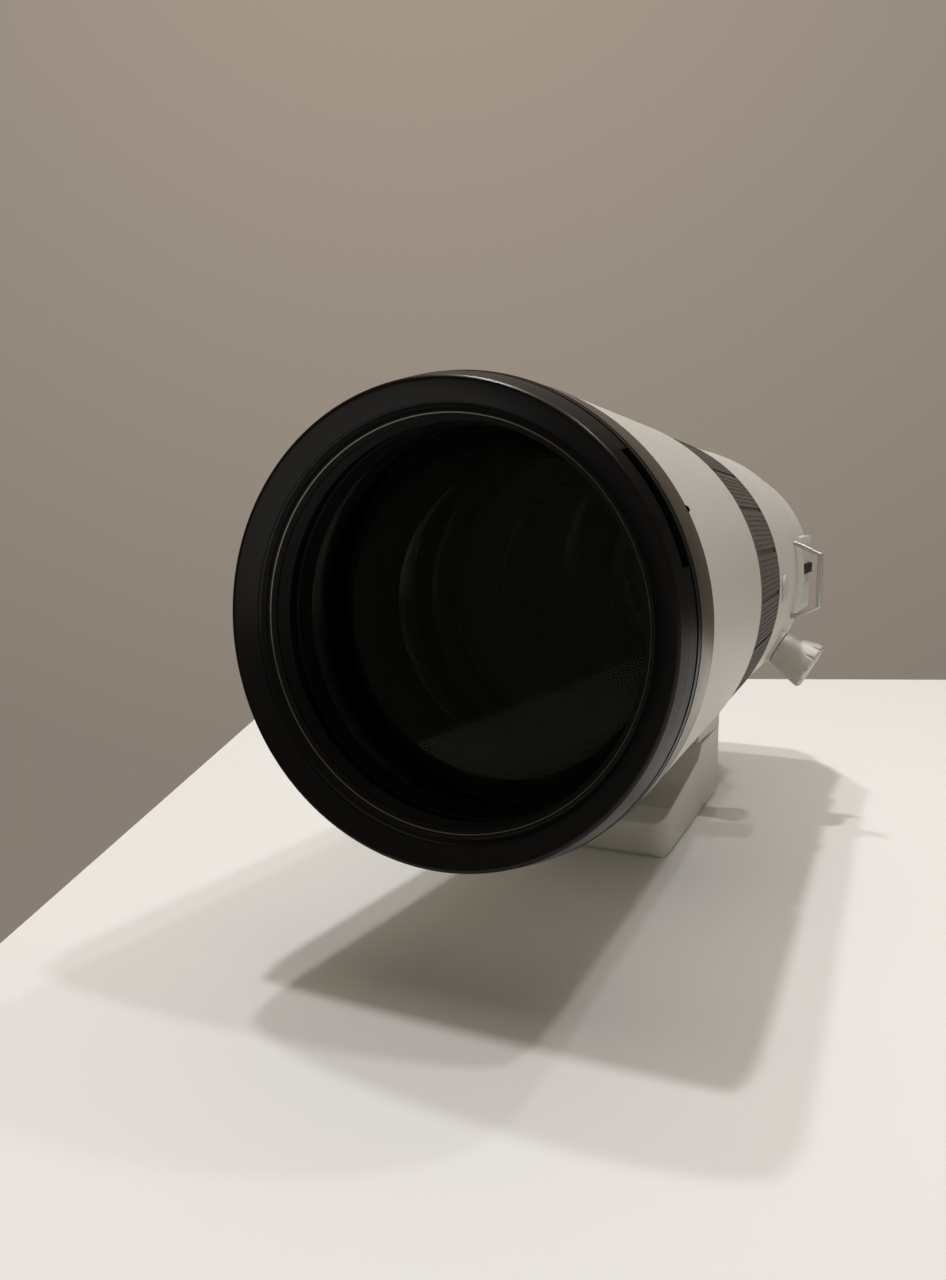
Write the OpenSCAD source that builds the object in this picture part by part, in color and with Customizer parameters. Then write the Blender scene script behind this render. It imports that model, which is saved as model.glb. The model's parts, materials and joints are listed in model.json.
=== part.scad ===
// Super telephoto lens on its collar and foot.
// Stations run along the optical axis, in mm behind the front rim. +Y points to the rear, +Z up.
// The origin is the mouth of the large threaded hole under the foot.

/* [Front ring] */
// Minor radius of the filter thread
thread_r = 46.95; // [46:0.05:47.5]
// Radial width of the front ring at its rear end, outside the thread
front_wall = 11.05; // [10.8:0.05:12]
// Difference in radius between the rim and the rear end of the front ring
rim_flare = 2; // [1:0.1:2.5]
// Length of the front ring
front_ring_l = 10; // [9.5:0.1:12]
// Width of the flat on the rim
rim_w = 1.2; // [0.8:0.1:2]
// Chamfer on the outer edge of the rim
rim_chamfer = 0.7; // [0.3:0.1:1]
// Depth of the funnel behind the rim
funnel_l = 4; // [3:0.1:4.5]
// Radial width between the thread and the bottom of the funnel
funnel_in = 3.25; // [2.9:0.05:4]
// Station where the filter thread starts
thread_a = 6.4; // [6:0.1:7]
// Length of the filter thread
thread_l = 6; // [4:0.1:7]
// Width of the bright edge in front of the thread
thread_lip = 1.45; // [1:0.05:1.8]
// Length of the spigot that enters the trim ring
spigot_l = 5; // [4:0.1:7]
// Station of the hood groove
groove_a = 7.4; // [7:0.1:8]
// Width of the hood groove
groove_w = 0.8; // [0.6:0.1:1.2]
// Depth of the hood groove
groove_d = 1.4; // [0.8:0.1:1.8]
// Width of the pockets in front of the hood groove
pocket_w = 2.8; // [2:0.1:3]

/* [Front barrel] */
// Step down in radius from the front ring to the trim ring
ring_step = 0.3; // [0.1:0.1:0.6]
// Length of the trim ring
trim_l = 13; // [12:0.5:16]
// Difference in radius between the ends of the front barrel
barrel_taper = 3.1; // [2:0.1:3.4]
// Length of the front barrel
front_barrel_l = 76; // [74:0.5:90]
// Edge chamfer of the barrel parts
edge_chamfer = 0.6; // [0.3:0.1:1]
// Wall of the front barrel
shell_wall = 2.5; // [2.3:0.1:3]
// Depth of the front cell's seat in the front barrel
seat_l = 25; // [20:0.5:30]

/* [Focus ring] */
// Length of the band that carries the rubber
focus_ring_l = 48; // [46:0.5:60]
// Step down in radius from the front barrel to the rubber
grip_drop = 0.4; // [0.2:0.1:0.8]
// Difference in radius between the ends of the rubber
grip_taper = 1.8; // [1:0.1:2]
// Least thickness of the rubber
rubber_t = 1.2; // [1:0.1:1.6]
// Width of the channels along the rubber
channel_w = 1.6; // [1:0.1:2]
// Depth of the channels along the rubber
channel_d = 0.5; // [0.3:0.1:0.6]
// Thickness of the sleeve under the rubber
sleeve_t = 6.9; // [6.5:0.1:7.2]
// Turn of the focus ring in degrees
focus_turn = 150; // [100:5:155]
// Travel of the focus cell
focus_travel = 14; // [12:0.5:15]
// Width of the drive key
key_w = 5; // [3:0.5:7]
// Length of the drive key along the axis
key_l = 4; // [3:0.5:5]
// Radius of a cam follower pin
follower_r = 1.85; // [1.5:0.05:2.2]

/* [Middle barrel] */
// Step down in radius from the rubber to the middle barrel
middle_drop = 0.4; // [0.2:0.1:0.6]
// Length of the middle barrel with the gap in front of it
middle_l = 33; // [32:0.5:40]
// Difference in radius between the ends of the middle barrel
middle_taper = 1; // [0.5:0.1:1.2]
// Radius of a focus hold button
button_r = 4.5; // [3.5:0.1:5.5]
// Height of a button above the barrel
button_proud = 0.9; // [0.85:0.05:1.5]
// Travel of a button
button_travel = 0.8; // [0.4:0.05:0.8]

/* [Collar] */
// Length of the collar ring
collar_l = 39; // [37:0.5:44]
// Wall of the collar ring at its ends
collar_wall = 1.6; // [1.4:0.1:2]
// Height of the collar's crown
crown = 0.6; // [0.4:0.1:1.5]
// Half width of the pedestal above the foot
neck_half_w = 19; // [18:0.5:19]
// Length of the foot's neck along the axis
neck_l = 42; // [40:0.5:46]
// Height of the joint between foot and pedestal
neck_h = 28; // [27:0.5:31]
// Height of the pedestal between foot and collar crown
pedestal_h = 11.4; // [8:0.1:20]
// Reach of a strap lug beyond the collar's crown
lug_out = 8.7; // [8:0.1:10]
// Half width of a strap lug at its root
lug_root = 14.5; // [13:0.5:15]
// Half width of a strap lug at its tip
lug_tip = 10; // [9:0.5:11]
// Thickness of a strap lug
lug_t = 3; // [2:0.5:4]
// Width of the bar of a strap lug
lug_bar = 1.8; // [1.5:0.1:2.2]

/* [Foot] */
// Length of the foot
foot_l = 97; // [92:0.5:110]
// Half width of the foot at its front
foot_half_w = 22; // [21.5:0.5:24]
// Difference in half width between the ends of the foot
foot_flare = 3; // [1:0.5:3]
// Height of the toe at its front
toe_front_h = 16.5; // [15:0.5:18]
// Height of the toe where the neck starts
toe_rear_h = 23.5; // [22:0.5:25]
// Corner radius of the foot seen from below
foot_corner_r = 6; // [4:0.5:10]
// Edge chamfer of the foot
foot_chamfer = 1.6; // [0.8:0.1:2]
// Minor radius of the large threaded hole
big_hole_r = 3.99; // [3.5:0.01:4.5]
// Depth of the large threaded hole
big_hole_l = 12; // [8:0.5:14]
// Distance from the rear end of the foot to the large threaded hole
hole_back = 50.5; // [47:0.5:56]
// Minor radius of the small threaded hole
small_hole_r = 2.58; // [2.2:0.01:3]
// Depth of the small threaded hole
small_hole_l = 10; // [6:0.5:12]
// Distance from the large to the small threaded hole
hole_pitch = 22; // [15:0.5:28]

/* [Lock knob] */
// Angle of the knob's axis below the right side, in degrees
knob_angle = 29; // [28:1:32]
// Radius of the knob at its base
knob_base_r = 6.3; // [5:0.1:7]
// Radius of the knob at its end
knob_end_r = 8.8; // [8:0.1:9.5]
// Distance from the collar's crown to the knob
knob_gap = 1.4; // [1.2:0.1:2]
// Length of the knob
knob_l = 13.8; // [12:0.1:15]
// Turn of the knob from loose to tight, in degrees
knob_sweep = 90; // [60:5:120]
// Radius of the knob's screw
knob_screw_r = 2.5; // [2:0.1:3]
// Thickness of the brake shoe
shoe_t = 1.2; // [0.8:0.1:1.3]

/* [Rear barrel] */
// Wall of the rear barrel
rear_wall = 1.9; // [1.8:0.1:2.2]
// Length of the rear barrel behind the collar, to the mount flange
rear_l = 65; // [62:0.5:80]
// Length of the tapered end of the rear barrel
taper_l = 22; // [18:0.5:22.5]
// Length of the switch panel
panel_l = 30; // [30:0.5:32]
// Half height of the switch panel
panel_half_h = 12; // [11.5:0.5:13]
// Height of the switch panel's face above the rear barrel
panel_rise = 1.1; // [1:0.1:1.5]
// Travel of a slide switch
switch_travel = 4; // [3:0.1:5]

/* [Mount] */
// Outer radius of the mount flange
flange_r = 33; // [32:0.1:34]
// Thickness of the mount flange
flange_t = 5; // [4:0.1:6]
// Width of the flange's face outside the bayonet's barrel
flange_face_w = 6.1; // [5.5:0.05:7]
// Length of the bayonet's barrel
bayonet_l = 6.5; // [6:0.1:8]
// Reach of the bayonet's claws beyond its barrel
claw_out = 2.5; // [2:0.1:3]
// Width between the bayonet's outside and the rear throat
throat_wall = 4.9; // [4.4:0.1:7]

/* [Optics] */
// Width of the front glass outside the filter thread
glass_over = 1.8; // [1.2:0.05:2]
// Radial width of the rim round the second glass
second_rim = 2.55; // [2:0.05:4]
// Radial width of the rim round the focus glass
focus_rim = 3.57; // [3.2:0.01:5]
// Radial width of the rim round the stabiliser glass
stab_rim = 6.5; // [6:0.1:8]
// Radius of the rear glass
rear_glass_r = 26; // [24:0.1:28]
// Number of iris blades
blade_n = 7; // [7:1:7]
// Turn of a blade from open to closed, in degrees
blade_turn = 35; // [20:1:36]
// Turn of the iris ring from open to closed, in degrees
iris_turn = 30; // [25:1:32]
// Radial room outside the blade pivots
pivot_room = 14.05; // [13:0.05:14.05]
// Travel of the stabiliser each way
stab_travel = 0.8; // [0.4:0.1:0.9]

/* [Hidden] */
$fn = 96;
fine = 48;
fit = 0.05;         // clearance of fixed parts
run = 0.06;         // clearance of running parts
air = 0.3;          // clearance of parts that move apart
over = 1;           // overrun of cuts, and the width of small lips and lands
seam = 66;          // angle of the seam of turned shapes, clear of every cut
body_grey = [0.79, 0.79, 0.77];
black = [0.07, 0.07, 0.07];
dark = [0.2, 0.19, 0.18];
steel = [0.62, 0.62, 0.63];
brass = [0.75, 0.6, 0.3];
green = [0.1, 0.35, 0.2];
glass = [0.5, 0.6, 0.65, 0.4];

// Stations of the joints between the outer parts
trim_a = front_ring_l;
barrel_a = trim_a + trim_l;
grip_a = barrel_a + front_barrel_l;
middle_a = grip_a + focus_ring_l;
collar_a = middle_a + middle_l;
rear_a = collar_a + collar_l;
flange_a = rear_a + rear_l;
taper_a = flange_a - taper_l;

// Radii, from the filter thread outwards and then from the front barrel inwards
front_ring_r = thread_r + front_wall;
rim_r = front_ring_r - rim_flare;
funnel_r = thread_r + funnel_in;
front_glass_r = thread_r + glass_over;
trim_r = front_ring_r - ring_step;
spigot_r = trim_r - shell_wall;
cell_r = spigot_r - fit;
cell_back = barrel_a + seat_l;
barrel_rear_r = trim_r - barrel_taper;
bore_r = barrel_rear_r - shell_wall - fit;
grip_front_r = barrel_rear_r - grip_drop;
grip_rear_r = grip_front_r - grip_taper;
sleeve_r = grip_rear_r - rubber_t;
tube_r = sleeve_r - sleeve_t - run;
tube_wall = 2.5;
tube_bore = tube_r - tube_wall;
cam_r = tube_bore - run;
cam_wall = 2.4;
guide_r = cam_r - cam_wall - run;
guide_wall = 2.4;
guide_bore = guide_r - guide_wall;
middle_r = grip_rear_r - middle_drop;
rear_r = tube_r + fit + rear_wall;
track_rise = 1.1;
track_r = rear_r + track_rise;
stop_rise = 1.4;
stop_r = track_r + stop_rise;
liner_t = 1;
collar_bore = track_r + run + liner_t + fit;
collar_end_r = collar_bore + collar_wall;
collar_crown_r = collar_end_r + crown;
lug_reach = collar_crown_r + lug_out;
knob_base_at = collar_crown_r + knob_gap;
panel_face = rear_r + panel_rise;
bayonet_r = flange_r - flange_face_w;
throat_r = bayonet_r - throat_wall;
claw_r = bayonet_r + claw_out;
axis_h = neck_h + pedestal_h + collar_crown_r;

// Stations of the foot, and of the hole that is the origin
foot_back = 3.5;
foot_to = rear_a + foot_back;
foot_from = foot_to - foot_l;
neck_from = foot_to - neck_l;
hole_a = foot_to - hole_back;

// Stations inside, from the front glass to the focus drive
retainer_a = front_ring_l + spigot_l + air;
retainer_t = 2.3;
front_vertex = retainer_a + retainer_t;
front_sag = 4.5;
front_glass_t = 18.5;
front_rear_vertex = front_vertex + front_glass_t;
back_sag = 1.2;
tube_lead = 39;
tube_front = grip_a - tube_lead;
tube_tail = 2.5;
tube_rear = rear_a + tube_tail;
second_gap = 2;
second_l = 20;
second_from = tube_front + second_gap;
second_to = second_from + second_l;
second_glass_r = tube_bore - second_rim;
cell_lip_t = 2;
stator_gap = 2;
stator_l = 8;
stator_a = second_to + stator_gap;
rotor_a = stator_a + stator_l + air;
rotor_l = 11.7;
cam_a = rotor_a + rotor_l;
key_lead = 4;
key_a = cam_a + key_lead;
follower_lead = 22;
follower_a = cam_a + follower_lead;
cam_tail = 9;
cam_l = follower_a + focus_travel + cam_tail - cam_a;
guide_flange_a = cam_a + cam_l + air;
guide_flange_l = 4;
key_angle = -90;
focus_cell_l = 16;
focus_glass_r = guide_bore - run - focus_rim;

// Iris
iris_gap = 4.7;
iris_a = guide_flange_a + guide_flange_l + iris_gap;
blade_t = 0.25;
blade_pitch = 0.4;
iris_ring_t = 2.4;
iris_base_t = 2;
blade_a = iris_a + iris_ring_t + 3 * air;
iris_base_a = blade_a + blade_n * blade_pitch + air;
pivot_at = tube_bore - pivot_room;
aperture_in = 9;
iris_open_r = pivot_at - aperture_in;
pin_r = 0.7;
blade_lead = 10;
blade_edge_in = 1.5;
blade_out = pivot_at - blade_edge_in;
blade_w = 7;
blade_in = blade_out - blade_w;
blade_span = 75;
lug_w = 2;

// Stabiliser and rear group
stab_gap = 15.6;
stab_a = iris_base_a + iris_base_t + stab_gap;
stab_plate_t = 3;
stab_lead = 9;
stab_mid = stab_a + stab_lead;
stab_ring_room = 8.05;
stab_ring_r = tube_bore - stab_ring_room;
stab_ring_w = 5.8;
stab_ring_in = stab_ring_r - stab_ring_w;
stab_ring_t = 5;
stab_cell_room = 1.2;
stab_cell_r = stab_ring_in - stab_cell_room;
stab_cell_l = 12;
stab_glass_r = stab_cell_r - stab_rim;
rod_r = 1.2;
rod_x_at = stab_ring_r - stab_ring_w / 2;
rod_edge = 2.5;
rod_z_at = stab_cell_r - rod_edge;
rod_bite = 3.6;
rear_cell_l = 20;

// Switches and boards
panel_gap = 7;
panel_a = rear_a + panel_gap;
panel_t = 2.2;
pad_margin = 3;
slot_pitch = 7;
slot_first = 4.5;
stem_w = 3;
stem_h = 4;
flange_gap = 1.4;
board_t = 1.6;
main_board_gap = 3;
main_board_a = taper_a - main_board_gap;

// Shared shapes. Along the axis z is the station, x points right and y points down.
module on_axis() translate([0, -hole_a, axis_h]) rotate([-90, 0, 0]) children();
module revolve() rotate([0, 0, seam]) rotate_extrude() children();
module turned(points) on_axis() revolve() polygon(points);
module ring(r_out, r_in, from, to) revolve() translate([r_in, from])
    square([r_out - r_in, to - from]);
module sector(r_out, r_in, from, to, start, angle) rotate([0, 0, start])
    rotate_extrude(angle = angle) translate([r_in, from]) square([r_out - r_in, to - from]);
module radial(angle, station) rotate([0, 0, angle]) translate([0, 0, station]) rotate([0, 90, 0])
    children();

// A glass between two vertices, domed on both faces
dome_steps = 12;
function dome_r(r, sag) = (r * r + sag * sag) / (2 * sag);
function dome(r, sag, i) = dome_r(r, sag) - sqrt(pow(dome_r(r, sag), 2) - pow(r * i / dome_steps, 2));
module element(r, from, to, sag_front, sag_back) turned(concat(
    [for (i = [0:dome_steps]) [r * i / dome_steps, from + dome(r, sag_front, i)]],
    [for (i = [dome_steps:-1:0]) [r * i / dome_steps, to - dome(r, sag_back, i)]]));

// A cell round a glass, with a lip in front of it and behind it
module cell(r_out, glass_r, from, to, lip, lip_t) revolve() polygon([
    [r_out, from], [r_out, to], [glass_r - lip, to], [glass_r - lip, to - lip_t],
    [glass_r + fit, to - lip_t], [glass_r + fit, from + lip_t], [glass_r - lip, from + lip_t],
    [glass_r - lip, from]]);

// Front ring: funnel face, filter thread, and a hood groove with three pockets in front of it
pocket_start = -43.5;
pocket_arc = 28;
function front_r(a) = rim_r + rim_flare * (a - rim_chamfer) / (front_ring_l - rim_chamfer);
module front_ring() color(black) difference() {
    turned([
        [rim_r - rim_w, 0], [rim_r - rim_chamfer, 0], [rim_r, rim_chamfer],
        [front_r(groove_a), groove_a], [rim_r - groove_d, groove_a],
        [rim_r - groove_d, groove_a + groove_w], [front_r(groove_a + groove_w), groove_a + groove_w],
        [front_ring_r, front_ring_l], [spigot_r, front_ring_l],
        [spigot_r, front_ring_l + spigot_l], [thread_r + thread_lip, front_ring_l + spigot_l],
        [thread_r + thread_lip, thread_a + thread_l], [thread_r, thread_a + thread_l],
        [thread_r, thread_a], [thread_r + thread_lip, thread_a - thread_lip / 2],
        [funnel_r, funnel_l]]);
    on_axis() for (i = [0:2]) sector(front_ring_r + over, rim_r - groove_d + air,
        groove_a - pocket_w, groove_a + groove_w / 2, pocket_start + 120 * i, pocket_arc);
}

module trim_ring() color(steel) turned([
    [spigot_r + fit, trim_a], [trim_r - edge_chamfer, trim_a], [trim_r, trim_a + edge_chamfer],
    [trim_r, barrel_a - edge_chamfer], [trim_r - edge_chamfer, barrel_a],
    [spigot_r + fit, barrel_a]]);

module front_barrel() color(body_grey) turned([
    [trim_r - edge_chamfer, barrel_a], [trim_r, barrel_a + edge_chamfer],
    [barrel_rear_r, grip_a - edge_chamfer], [barrel_rear_r - edge_chamfer, grip_a],
    [bore_r + fit, grip_a], [bore_r + fit, cell_back], [cell_r + fit, cell_back],
    [cell_r + fit, barrel_a]]);

module front_cell() color(black) turned([
    [cell_r, retainer_a], [cell_r, cell_back - fit], [front_glass_r - fit, cell_back - fit],
    [front_glass_r - fit, front_rear_vertex + over],
    [front_glass_r - lug_w, front_rear_vertex + over],
    [front_glass_r - lug_w, front_rear_vertex - over], [front_glass_r + fit, front_rear_vertex - over],
    [front_glass_r + fit, retainer_a]]);

module front_element() color(glass)
    element(front_glass_r, front_vertex, front_rear_vertex, front_sag, back_sag);

retainer_rim = 2.25;
retainer_in = front_glass_r - retainer_rim;
module front_retainer() color(black) turned([
    [front_glass_r, retainer_a + over], [front_glass_r, front_vertex + front_sag - 2 * blade_pitch],
    [retainer_in, front_vertex + front_sag - 2 * blade_pitch], [retainer_in + over, retainer_a + over]]);

// Light baffle: a cone with stepped ridges that end in front of the second cell
ridge_n = 8;
baffle_r = front_glass_r - 4 * fit;
baffle_from = front_rear_vertex + over + fit;
baffle_to = tube_front - fit;
baffle_step = (baffle_to - baffle_from) / ridge_n;
function baffle_in(i) = baffle_r - over - (baffle_r - over - second_glass_r + lug_w) * i / ridge_n;
module baffle_tube() color(black) turned(concat(
    [[baffle_r, baffle_from], [baffle_r, baffle_to]],
    [for (i = [ridge_n:-1:1]) each [
        [baffle_in(i), baffle_from + i * baffle_step],
        [baffle_in(i) + over, baffle_from + (i - 1) * baffle_step]]]));

module second_cell() color(black) on_axis()
    cell(tube_bore - fit, second_glass_r, tube_front, second_to, lug_w, cell_lip_t);
module second_element() color(glass)
    element(second_glass_r, second_from + fit, second_to - cell_lip_t - fit, 2 * over, over);

// Main tube: the backbone, with a window for the drive key
window_margin = asin((key_w / 2 + 2 * air) / tube_bore);
tube_flange_l = 6;
flange_from = stator_a + stator_l / 2;
module main_tube() color(dark) on_axis() difference() {
    union() {
        ring(tube_r, tube_bore, tube_front, tube_rear);
        ring(bore_r, tube_bore + fit, flange_from, flange_from + tube_flange_l);
    }
    sector(tube_r + over, tube_bore - over, key_a - air, key_a + key_l + air,
        key_angle - window_margin, focus_turn + 2 * window_margin);
}

motor_in = guide_bore + over;
module motor_stator() color(brass) on_axis()
    ring(tube_bore - fit, motor_in, stator_a, stator_a + stator_l);
module motor_rotor() color(steel) on_axis()
    ring(cam_r, motor_in, rotor_a, cam_a);

// Cutters of the cam tube's slots follow the followers from one end of the travel to the other
slot_steps = 20;
slot_extra = asin((follower_r + air) / cam_r);
slot_half = follower_r + 3 * fit;
function slot_turn(i) = -slot_extra + (focus_turn + 2 * slot_extra) * i / slot_steps;
function slot_point(i, r, side) = [
    r * cos(-slot_turn(i)), r * sin(-slot_turn(i)),
    follower_a + focus_travel * slot_turn(i) / focus_turn + side * slot_half];
module cam_slot() polyhedron(
    points = [for (i = [0:slot_steps]) each [
        slot_point(i, cam_r - cam_wall - over, -1), slot_point(i, cam_r + over, -1),
        slot_point(i, cam_r + over, 1), slot_point(i, cam_r - cam_wall - over, 1)]],
    faces = concat(
        [[0, 1, 2], [0, 2, 3]],
        [for (i = [0:slot_steps - 1], k = [0:3]) each [
            [4 * i + k, 4 * i + 4 + k, 4 * i + 4 + (k + 1) % 4],
            [4 * i + k, 4 * i + 4 + (k + 1) % 4, 4 * i + (k + 1) % 4]]],
        [[4 * slot_steps, 4 * slot_steps + 2, 4 * slot_steps + 1],
            [4 * slot_steps, 4 * slot_steps + 3, 4 * slot_steps + 2]]));
module cam_tube() color(steel) on_axis() difference() {
    ring(cam_r, cam_r - cam_wall, cam_a, cam_a + cam_l);
    for (i = [0:2]) rotate([0, 0, 120 * i]) cam_slot();
    rotate([0, 0, key_angle]) translate([cam_r - cam_wall - over, -key_w / 2 - fit, key_a - fit])
        cube([cam_wall + 2 * over, key_w + 2 * fit, key_l + 2 * fit]);
}

key_rise = 2;
module drive_key() color(brass) on_axis() rotate([0, 0, key_angle])
    translate([cam_r - cam_wall + fit, -key_w / 2, key_a])
        cube([tube_r + key_rise - cam_r + cam_wall, key_w, key_l]);

module guide_tube() color(dark) on_axis() difference() {
    union() {
        ring(guide_r, guide_bore, cam_a, guide_flange_a + guide_flange_l);
        ring(tube_bore - fit, guide_bore + over, guide_flange_a, guide_flange_a + guide_flange_l);
    }
    for (i = [0:2]) rotate([0, 0, 120 * i])
        translate([guide_bore - over, -follower_r - run, follower_a - follower_r - air])
            cube([guide_wall + 2 * over, 2 * (follower_r + run),
                focus_travel + 2 * (follower_r + air)]);
}

focus_from = follower_a - focus_cell_l / 2;
cell_bore_r = guide_bore - run;
follower_bite = 2.2;
follower_root = cell_bore_r - follower_bite;
module focus_cell() color(black) on_axis() difference() {
    cell(cell_bore_r, focus_glass_r, focus_from, focus_from + focus_cell_l, lug_w, cell_lip_t);
    for (i = [0:2]) radial(120 * i, follower_a) translate([0, 0, follower_root - fit])
        cylinder(r = follower_r + fit, h = guide_wall + over, $fn = fine);
}
module focus_element() color(glass)
    element(focus_glass_r, focus_from + cell_lip_t + fit, focus_from + focus_cell_l - cell_lip_t - fit,
        over, over);
module cam_followers() color(brass) on_axis() for (i = [0:2]) radial(120 * i, follower_a)
    translate([0, 0, follower_root]) cylinder(r = follower_r, h = cam_r - run - follower_root, $fn = fine);

// Focus ring: sleeve with end lips that hold the rubber, and a pocket for the drive key
ring_from = grip_a + air;
ring_to = middle_a;
lip_l = 1.5;
module focus_ring() color(dark) on_axis() difference() {
    revolve() polygon([
        [tube_r + run, ring_from], [sleeve_r + over, ring_from], [sleeve_r + over, ring_from + lip_l],
        [sleeve_r, ring_from + lip_l], [sleeve_r, ring_to - lip_l],
        [sleeve_r + over, ring_to - lip_l], [sleeve_r + over, ring_to], [tube_r + run, ring_to]]);
    rotate([0, 0, key_angle]) translate([tube_r - over, -key_w / 2 - fit, key_a - fit])
        cube([3 * over + 2 * fit, key_w + 2 * fit, key_l + 2 * fit]);
}
grip_from = ring_from + lip_l + fit;
grip_to = ring_to - lip_l - fit;
channel_n = 24;
channel_end = 2;
module focus_grip() color(dark) difference() {
    turned([
        [sleeve_r + fit, grip_from], [grip_front_r - edge_chamfer, grip_from],
        [grip_front_r, grip_from + edge_chamfer], [grip_rear_r, grip_to - edge_chamfer / 2],
        [grip_rear_r - edge_chamfer / 2, grip_to], [sleeve_r + fit, grip_to]]);
    on_axis() for (i = [0:channel_n - 1]) rotate([0, 0, 360 * i / channel_n]) rotate([90, 0, 0])
        translate([0, 0, -channel_w / 2]) linear_extrude(channel_w) polygon([
            [grip_front_r - channel_d, grip_from + channel_end],
            [grip_front_r + over, grip_from + channel_end],
            [grip_rear_r + over, grip_to - channel_end],
            [grip_rear_r - channel_d, grip_to - channel_end]]);
}

// Middle barrel with its three button wells
button_lead = 10;
button_a = middle_a + button_lead;
button_angles = [-90, 180, 0];
button_floor = tube_r + fit;
module button_well(r) radial(0, button_a) translate([0, 0, button_floor])
    cylinder(r = r, h = middle_r, $fn = fine);
module middle_barrel() color(body_grey) on_axis() difference() {
    revolve() polygon([
        [middle_r - edge_chamfer, middle_a + air], [middle_r, middle_a + air + edge_chamfer],
        [middle_r - middle_taper, collar_a - air], [rear_r + 2 * fit, collar_a - air],
        [rear_r + 2 * fit, middle_a + 2 * middle_l / 3], [tube_r + fit, middle_a + 2 * middle_l / 3],
        [tube_r + fit, middle_a + air]]);
    for (angle = button_angles) rotate([0, 0, angle]) button_well(button_r + air / 2);
}
module hold_button(i) color(dark) on_axis() intersection() {
    rotate([0, 0, button_angles[i]]) radial(0, button_a)
        translate([0, 0, button_floor + button_travel + air / 2])
            cylinder(r = button_r, h = middle_r, $fn = fine);
    cylinder(r = middle_r + button_proud, h = flange_a);
}

// Iris: each blade lies in a plane of its own and swings on a pin in the base
function blade_angle(k) = 360 * k / blade_n;
function spin(p, angle) = [
    p[0] * cos(angle) - p[1] * sin(angle), p[0] * sin(angle) + p[1] * cos(angle)];
drive_at = pivot_at * [cos(blade_lead), sin(blade_lead)];
function drive_point(share) = spin([pivot_at, 0] + spin(drive_at - [pivot_at, 0], blade_turn * share),
    -iris_turn * share);
iris_steps = 12;
iris_slot_half = pin_r + 2 * run;
function drive_dir(i) = drive_point((i + 0.5) / iris_steps) - drive_point((i - 0.5) / iris_steps);
function drive_side(i, side) = drive_point(i / iris_steps)
    + side * iris_slot_half * spin(drive_dir(i), 90) / norm(drive_dir(i));
module iris_slot() union() {
    polygon(concat([for (i = [0:iris_steps]) drive_side(i, 1)],
        [for (i = [iris_steps:-1:0]) drive_side(i, -1)]));
    for (share = [0, 1]) translate(drive_point(share)) circle(iris_slot_half + fit, $fn = fine);
}
iris_wall_gap = 5;
iris_wall_in = pivot_at + iris_wall_gap;
iris_ring_in = iris_open_r + lug_w;
module iris_housing() color(black) on_axis() difference() {
    union() {
        ring(tube_bore - fit, iris_wall_in, iris_a - over, iris_base_a + iris_base_t);
        ring(iris_wall_in + over, iris_open_r, iris_base_a, iris_base_a + iris_base_t);
        ring(iris_wall_in + over, iris_ring_in, iris_a - over - air, iris_a - air);
    }
    for (k = [0:blade_n - 1]) rotate([0, 0, blade_angle(k)]) translate([pivot_at, 0, iris_base_a - over])
        cylinder(r = pin_r + run, h = iris_base_t + 2 * over, $fn = fine);
}
module iris_ring() color(steel) on_axis() difference() {
    ring(iris_wall_in - run, iris_ring_in, iris_a, iris_a + iris_ring_t);
    for (k = [0:blade_n - 1]) rotate([0, 0, blade_angle(k)]) translate([0, 0, iris_a - over])
        linear_extrude(iris_ring_t + 2 * over) iris_slot();
}
module iris_blade(k) color(dark) on_axis() rotate([0, 0, blade_angle(k)]) {
    level = blade_a + k * blade_pitch;
    union() {
        sector(blade_out, blade_in, level, level + blade_t, -3, blade_span);
        sector(pivot_at + lug_w / 2, blade_in, level, level + blade_t, -3, blade_lead + 6);
        translate([pivot_at, 0, level]) cylinder(r = lug_w, h = blade_t, $fn = fine);
        translate([pivot_at, 0, level])
            cylinder(r = pin_r, h = iris_base_a + iris_base_t - level, $fn = fine);
        translate([drive_at[0], drive_at[1], iris_a + air])
            cylinder(r = pin_r, h = level - iris_a, $fn = fine);
    }
}

// Stabiliser: a slide on two rods across, and a cell on two upright rods in the slide
post_share = 0.6;
post_w = 5.5;
post_h = 3.4;
post_to = post_share * tube_bore;
post_from = post_to - post_w;
post_high = sqrt(pow(tube_bore - air, 2) - pow(post_to, 2));
post_low = post_high - post_h;
frame_wall = 2.3;
stab_top = stab_mid + stab_ring_t / 2;
module rod_x(r, half) for (side = [-1, 1]) translate([-half, side * rod_x_at, stab_mid])
    rotate([0, 90, 0]) cylinder(r = r, h = 2 * half, $fn = fine);
module rod_z(r, half) for (side = [-1, 1]) translate([side * rod_z_at, -half, stab_mid])
    rotate([-90, 0, 0]) cylinder(r = r, h = 2 * half, $fn = fine);
module stabiliser_frame() color(dark) on_axis() union() {
    ring(tube_bore - fit, stab_ring_in + lug_w, stab_a, stab_a + stab_plate_t);
    ring(tube_bore - fit, tube_bore - frame_wall, stab_a, stab_top);
    for (x = [-post_to, post_from], y = [-post_high, post_low]) translate([x, y, stab_a])
        cube([post_to - post_from, post_high - post_low, stab_top - stab_a]);
    rod_x(rod_r, post_from + lug_w);
}
module stabiliser_slide() color(steel) on_axis() union() {
    difference() {
        ring(stab_ring_r, stab_ring_in, stab_mid - stab_ring_t / 2, stab_top);
        rod_x(rod_r + run, post_to);
    }
    rod_z(rod_r, sqrt(pow(stab_ring_in, 2) - pow(rod_z_at, 2)) + rod_bite);
}
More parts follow.
